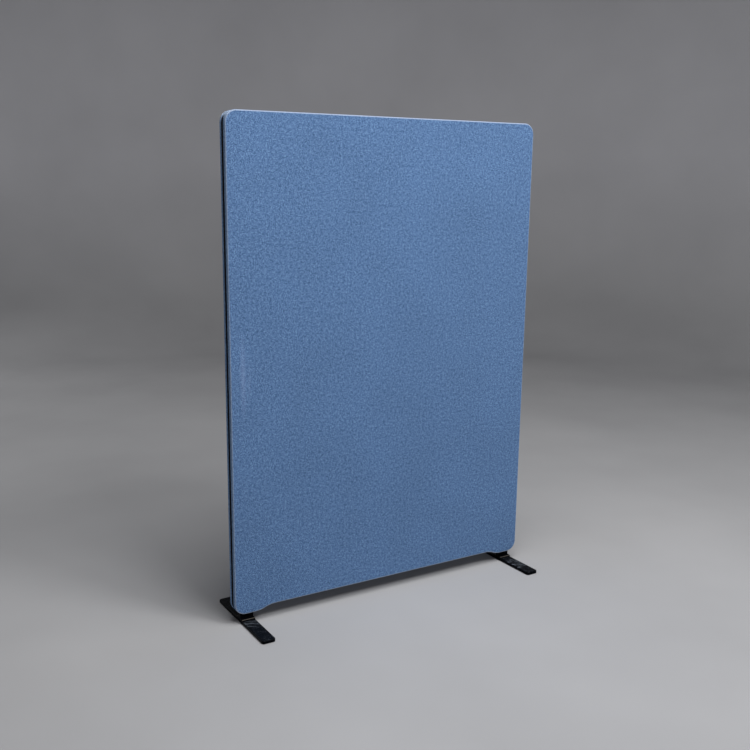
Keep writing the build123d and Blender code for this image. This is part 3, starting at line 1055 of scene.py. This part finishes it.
# %% The coat on the posts
post_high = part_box("foot_post_left")[1]
flange_thickness = 4 * mm
post_black = (srgb(4, 5, 8), srgb(8, 9, 13))
# Grey like bare steel, painted on the flange's edges as a highlight.
highlight_steel_grey = srgb(122, 116, 108)
highlight_least = 0.3
highlight_patches = 0.9
highlight_below = 0.5 * mm
highlight_above = 0.3 * mm
highlight_fade = 0.4 * mm
highlight_reach = 1 * mm
highlight_reach_fade = 0.8 * mm


def highlit_coat():
    """The coat on the posts: a patchy painted highlight, grey like bare metal, where height and depth are
    both at an edge.
    """
    material, tree, shader = new_material("highlit_powder_coat", 0.4, Specular_IOR_Level=0.06)
    place = object_place(tree)
    y, z = parts(tree, place)[1:]
    patches = noise(tree, place, 120, 3, 0.6)
    flange_top = bar_high.z + flange_thickness
    near_top = band(tree, z, flange_top - highlight_below, flange_top + highlight_above, highlight_fade)
    reach = maths(tree, "ABSOLUTE", y)
    near_edge = band(tree, reach, post_high.y - highlight_reach, post_high.y + highlight_reach, highlight_reach_fade)
    # Painted highlight where the flange's top meets its front and rear edges.
    edge = maths(tree, "MULTIPLY", near_top, near_edge)
    edge_highlight = maths(tree, "MULTIPLY_ADD", patches, highlight_patches, highlight_least)
    edge_highlight = maths(tree, "MULTIPLY", edge, edge_highlight, clamp=True)
    painted(tree, shader, mixed(tree, edge_highlight, tones(tree, patches, post_black, 0.3), highlight_steel_grey))
    bumped(tree, shader, noise(tree, place, coat_dimples), dimple_relief, 0.6)
    return material


print("flange: its highlit edge lies", round((bar_high.z + flange_thickness) / mm), "mm above the floor")

# %% [markdown]
# The frame behind the felt is planed pine with beech dowels. The Wave texture draws straight
# boards' rings, but too evenly. So the rings are the sine of a noise that is stretched along the
# grain, and the rails lie across while the stiles stand. The wood in the groove behind the zip is
# painted near-black, so that the channel stays dark and no pale wood shows between the tapes.

# %% Wood
groove_dark_half_width = half_channel + 2 * mm
groove_dark_reach = 18 * mm
ring_stretch = {"x": (1.5, 40, 40), "z": (40, 40, 1.5)}
pore_stretch = {"x": (12, 700, 700), "z": (700, 700, 12)}
ring_turns = 38.0
ring_share = 0.28
pore_share = 0.5
wood_share = 0.25
pore_relief = 0.08 * mm
groove_black = (srgb(14, 14, 15), srgb(8, 8, 9))


def wood(name, grain, colours):
    """Planed wood: sine(ring_turns * noise) drawn out along the grain, with finer pores over it.

    Near the outline and near the middle plane it is painted near-black, to keep the zip's groove dark.
    """
    material, tree, shader = new_material(name, 0.62, Specular_IOR_Level=0.35)
    rings = noise(tree, object_place(tree, ring_stretch[grain]), 1, 3, 0.55)
    pores = noise(tree, object_place(tree, pore_stretch[grain]), 1, 2, 0.6)
    stripes = maths(tree, "SINE", maths(tree, "MULTIPLY", rings, ring_turns))
    share = maths(tree, "MULTIPLY_ADD", pores, pore_share, wood_share)
    share = maths(tree, "MULTIPLY_ADD", stripes, ring_share, share)
    x, y, z = parts(tree, object_place(tree))
    inner_x, inner_z = half_width - groove_dark_reach, (panel_high - panel_low) / 2 - groove_dark_reach
    past_x = maths(tree, "SUBTRACT", maths(tree, "ABSOLUTE", x), inner_x)
    from_middle = maths(tree, "ABSOLUTE", maths(tree, "SUBTRACT", z, (panel_low + panel_high) / 2))
    past_z = maths(tree, "SUBTRACT", from_middle, inner_z)
    near_outline = maths(tree, "GREATER_THAN", maths(tree, "MAXIMUM", past_x, past_z), 0.0)
    in_groove = maths(tree, "LESS_THAN", maths(tree, "ABSOLUTE", y), groove_dark_half_width)
    groove_dark = maths(tree, "MULTIPLY", near_outline, in_groove)
    # The groove is painted near-black, so that the channel behind the zip stays dark.
    bare, darkened = tones(tree, share, colours, 0.1), tones(tree, share, groove_black, 0.1)
    painted(tree, shader, mixed(tree, groove_dark, bare, darkened))
    bumped(tree, shader, pores, pore_relief, 0.5)
    return material


print("stain:", round(2 * groove_dark_half_width / mm), "mm wide and", round(groove_dark_reach / mm), "mm deep")

# %% [markdown]
# Hardboard, felt and fleece are all tangled fibres, and differ in colour, in size and in how soft
# they look. Real strands could be made with hair, but nobody sees these pieces from close by. Two
# noises of different size, one of them drawn out, give the same tangle.

# %% Board, felt and fleece
strand_stretch = (1.0, 2.2, 0.45)
strand_size = 0.6


def fibres(name, colours, scale, roughness, relief, sheen=0.0):
    """Tangled fibres: the average of a fine noise and a larger one that is drawn out."""
    material, tree, shader = new_material(name, roughness, Sheen_Weight=sheen, Specular_IOR_Level=0.2)
    fine = noise(tree, object_place(tree), scale, 4, 0.65)
    drawn = noise(tree, object_place(tree, strand_stretch), scale * strand_size, 3, 0.6)
    share = maths(tree, "MULTIPLY_ADD", drawn, 0.5, maths(tree, "MULTIPLY", fine, 0.5))
    painted(tree, shader, tones(tree, share, colours, 0.35))
    bumped(tree, shader, share, relief)
    return material


felt = fibres("grey_felt", (srgb(82, 84, 88), srgb(126, 128, 132)), 420, 0.95, 0.4 * mm, 0.2)
fleece = fibres("white_fleece", (srgb(214, 213, 208), srgb(240, 240, 236)), 260, 0.95, 0.6 * mm, 0.2)
dress(felt, felts)
dress(fleece, fleeces)
print("fibres on", len(felts), "slabs and", len(fleeces), "fleeces")

# %% [markdown]
# The tapes and the closing band are woven narrow, with ribs that show when the light rakes over
# them. The ribs could be modelled, but at a millimetre apart a bump does as well: two sine waves
# that cross. The yarn is dyed black, which is never quite black where it catches the light.

# %% Woven black tape
rib_relief = 0.12 * mm


def woven_black(name, rib_pitch, level):
    """Ribs: sine(Y) times sine(X + Z), both with that pitch. level is the darkest red, 0 to 255."""
    material, tree, shader = new_material(name, 0.85, Sheen_Weight=0.1, Specular_IOR_Level=0.2)
    x, y, z = parts(tree, object_place(tree))
    turn = 2 * math.pi / rib_pitch
    across = maths(tree, "SINE", maths(tree, "MULTIPLY", y, turn))
    along = maths(tree, "SINE", maths(tree, "MULTIPLY", maths(tree, "ADD", x, z), turn))
    weave = maths(tree, "MULTIPLY_ADD", maths(tree, "MULTIPLY", across, along), 0.5, 0.5)
    yarn = (srgb(level, level + 1, level + 4), srgb(level + 6, level + 8, level + 12))
    painted(tree, shader, tones(tree, weave, yarn, 0.0))
    bumped(tree, shader, weave, rib_relief)
    return material


tape_weave = woven_black("zip_tape_weave", 0.9 * mm, 3)
band_weave = woven_black("closing_band_weave", 1.3 * mm, 4)
print("woven:", tape_weave.name, "and", band_weave.name)

# %% [markdown]
# Nylon, thread, enamel, steel, zinc and rubber differ mostly in gloss and in the size of their
# faint unevenness, so one function makes them all. A single colour would look like a drawing, and
# a slow drift between two close tones is enough to make it a material.

# %% Moulded and machined finishes
def plain_finish(name, colours, scale, roughness, metallic, relief):
    """One colour that drifts to the other in a noise ten times as coarse as the unevenness."""
    material, tree, shader = new_material(name, roughness, metallic)
    drift = noise(tree, object_place(tree), scale / 10)
    painted(tree, shader, tones(tree, drift, colours, 0.35))
    bumped(tree, shader, noise(tree, object_place(tree), scale), relief, 0.5)
    return material


nylon = plain_finish("black_nylon", (srgb(9, 10, 13), srgb(14, 15, 19)), 2000, 0.34, 0.0, 0.01 * mm)
thread = plain_finish("black_thread", (srgb(9, 10, 13), srgb(15, 16, 20)), 2500, 0.7, 0.0, 0.03 * mm)
dress(nylon, coils)
dress(thread, stitches)
print("finishes on", len(coils), "coils and", len(stitches), "rows of stitches")

# %% [markdown]
# Now each node of the frame that still shows gets its finish. Its mesh could be copied and dressed
# as a new piece, but its shape is right as it is. So only its material slot is touched, and its
# shape and place stay with the construction.

# %% Finishes on the nodes
pine = (srgb(214, 180, 132), srgb(176, 132, 84))
beech = (srgb(222, 190, 146), srgb(190, 150, 106))
board = (srgb(92, 62, 38), srgb(124, 88, 58))
enamel = (srgb(22, 22, 24), srgb(30, 30, 33))
steel = (srgb(52, 52, 54), srgb(70, 70, 72))
zinc = (srgb(176, 174, 164), srgb(198, 196, 186))
rubber = (srgb(26, 26, 26), srgb(36, 36, 36))
node_finishes = [
    (powder_coat("powder_coat_left", -62 * mm, -26 * mm, 0.32), ["foot_bar_left"]),
    (powder_coat("powder_coat_right", -100 * mm, -45 * mm, 0.85), ["foot_bar_right"]),
    (highlit_coat(), ["foot_post_left", "foot_post_right"]),
    (wood("pine_across", "x", pine), ["top_rail", "bottom_rail", "middle_rail"]),
    (wood("pine_upright", "z", pine), ["left_stile", "right_stile"]),
    (wood("beech_dowel", "z", beech), ["frame_dowels"]),
    (fibres("hardboard", board, 900, 0.7, 0.05 * mm), ["barrier_board_lower", "barrier_board_upper"]),
    (tape_weave, ["zip_tape_front", "zip_tape_rear"]),
    (band_weave, ["bottom_band"]),
    (
        plain_finish("black_enamel", enamel, 1200, 0.3, 0.0, 0.02 * mm),
        ["zip_stops", "zip_slider", "zip_pull"],
    ),
    (plain_finish("blackened_steel", steel, 1500, 0.42, 1.0, 0.02 * mm), ["foot_screws"]),
    (plain_finish("zinc_plate", zinc, 1500, 0.36, 1.0, 0.02 * mm), ["foot_inserts"]),
    (plain_finish("pad_rubber", rubber, 700, 0.8, 0.0, 0.06 * mm), ["foot_pads"]),
]
for material, names in node_finishes:
    for name in names:
        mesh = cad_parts[name].data
        mesh.materials.clear()
        mesh.materials.append(material)

# %% [markdown]
# The studio is a round one, so that it looks the same from every side: a flat floor that turns
# up into a wall. A plane and a wall behind it would show a line between them. So it is a surface of
# revolution, its profile a straight run, a quarter circle and another straight run.

# %% Floor and wall in one
floor_radius = 4.2
sweep_radius = 1.6
wall_height = 5.0
sweep_points = 24
studio_sides = 96


def make_studio():
    """The profile (radius, height) turned about Z: floor, quarter circle and wall."""
    sweep = arc_of((floor_radius, sweep_radius), sweep_radius, -90, 0, sweep_points)
    profile = np.concatenate([[(0.0, 0.0), (floor_radius / 2, 0.0)], sweep])
    profile = np.concatenate([profile, [(floor_radius + sweep_radius, wall_height)]])
    angle = 2 * np.pi * np.arange(studio_sides) / studio_sides
    ring = np.stack([np.cos(angle), np.sin(angle)], axis=1)
    flat = profile[:, 0, None, None] * ring[None]
    height = np.broadcast_to(profile[:, 1, None, None], flat.shape[:2] + (1,))
    points = np.concatenate([flat, height], axis=2).reshape(-1, 3)
    studio = mesh_piece("studio", points, grid_faces(len(profile), len(angle)))
    return studio


studio = make_studio()
print("studio:", round(2 * (floor_radius + sweep_radius), 1), "m across")

# %% [markdown]
# Its paint is a plain grey. A backdrop that gets less light higher up looks darker there, so the
# grey grows paler as it climbs. A slow noise keeps it from looking like a screen of one colour.

# %% The studio's grey
floor_tones = (srgb(158, 158, 160), srgb(166, 166, 168))
wall_tones = (srgb(184, 184, 188), srgb(192, 192, 196))
climb_start = 0.3
climb_height = 1.2


def studio_grey():
    """Cloudy grey: the floor's tones, turning into the wall's between two heights."""
    material, tree, shader = new_material("studio_grey", 0.85, Specular_IOR_Level=0.2)
    place = object_place(tree)
    cloudy = noise(tree, place, 1.3, 3)
    floor_grey, wall_grey = (tones(tree, cloudy, pair, 0.3) for pair in (floor_tones, wall_tones))
    climbed = rise(tree, parts(tree, place)[2], climb_start, climb_height)
    painted(tree, shader, mixed(tree, climbed, floor_grey, wall_grey))
    return material


dress(studio_grey(), [studio])
print("the grey climbs from", climb_start, "to", climb_start + climb_height, "m")

# %% [markdown]
# Light comes from softboxes. The largest hangs above and a little in front, which gives the
# bright line along the top shoulder and the dark gap under the panel. Two high ones in front
# light the face from the middle and from the right, so that the left edge and the floor behind
# it stay dim. One stands low behind, so that it lights the rear face and hardly the floor. Each
# is an area light, because a small lamp would draw hard shadows.

# %% Four softboxes and a dim sky
panel_middle = Vector((0, 0, (panel_low + panel_high) / 2))


def softbox(name, place, aim, size, power):
    """An area light at the place, turned to the aim."""
    light = bpy.data.lights.new(name, "AREA")
    light.shape = "RECTANGLE"
    light.size, light.size_y = size
    light.energy = power
    lamp = bpy.data.objects.new(name, light)
    lamp.location = place
    lamp.rotation_euler = (Vector(aim) - Vector(place)).to_track_quat("-Z", "Y").to_euler()
    lamp.visible_camera = False
    bpy.context.scene.collection.objects.link(lamp)


softbox("overhead_softbox", (-0.1, -1.15, 4.3), (0, -0.4, 0), (2.6, 1.8), 125)
softbox("front_softbox", (0, -2.8, 3.6), panel_middle, (1.1, 1.1), 44)
softbox("right_softbox", (1.3, -2.5, 3.6), panel_middle, (1.1, 1.1), 68)
softbox("rear_softbox", (-1.6, 4.4, 1.5), panel_middle, (2.4, 1.6), 20)

world = bpy.data.worlds.new("dim_sky")
bpy.context.scene.world = world
world.use_nodes = True
sky = world.node_tree.nodes["Background"]
sky.inputs["Color"].default_value = (1, 1, 1, 1)
sky.inputs["Strength"].default_value = 0.02
bpy.context.scene.view_settings.view_transform = "Standard"

# %% [markdown]
# The camera stands where the photographer stood: to the left of the screen's front, a little lower
# than its upper edge, looking slightly down. It could be turned by eye until the picture fits, but
# a small error shows at once along straight edges. So its place, turn and focal length come from
# fitting the panel's known corners and the feet to the picture. The optical axis isn't in the
# middle of the picture, since the picture is a crop, and a small lens shift stands for that.

# %% The camera
image_side = 750
focal_pixels = 910.14
axis_pixel = (329.0, 385.5)
sensor_width = 36.0
camera_place = Vector((-1.42133, -2.17533, 1.17423))
camera_yaw = math.radians(-29.474)
camera_pitch = math.radians(11.909)
camera_roll = math.radians(0.054)


def camera_axes():
    """Right, up and back of the camera: yaw about Z, then pitch down, then roll about the view."""
    right = Vector((math.cos(camera_yaw), math.sin(camera_yaw), 0))
    level = Vector((-math.sin(camera_yaw), math.cos(camera_yaw), 0))
    ahead = level * math.cos(camera_pitch) - Vector((0, 0, 1)) * math.sin(camera_pitch)
    up = right.cross(ahead)
    tilted_right = right * math.cos(camera_roll) + up * math.sin(camera_roll)
    tilted_up = up * math.cos(camera_roll) - right * math.sin(camera_roll)
    return tilted_right, tilted_up, -ahead


lens = bpy.data.cameras.new("photographer")
lens.sensor_width = sensor_width
lens.lens = focal_pixels / image_side * sensor_width
middle_pixel = (image_side - 1) / 2
lens.shift_x = (middle_pixel - axis_pixel[0]) / image_side
lens.shift_y = (axis_pixel[1] - middle_pixel) / image_side
camera = bpy.data.objects.new("photographer", lens)
turned = Matrix(camera_axes()).transposed().to_4x4()
camera.matrix_world = Matrix.Translation(camera_place) @ turned
bpy.context.scene.collection.objects.link(camera)
bpy.context.scene.camera = camera
print("lens:", round(lens.lens, 1), "mm, shift:", round(lens.shift_x, 4), round(lens.shift_y, 4))
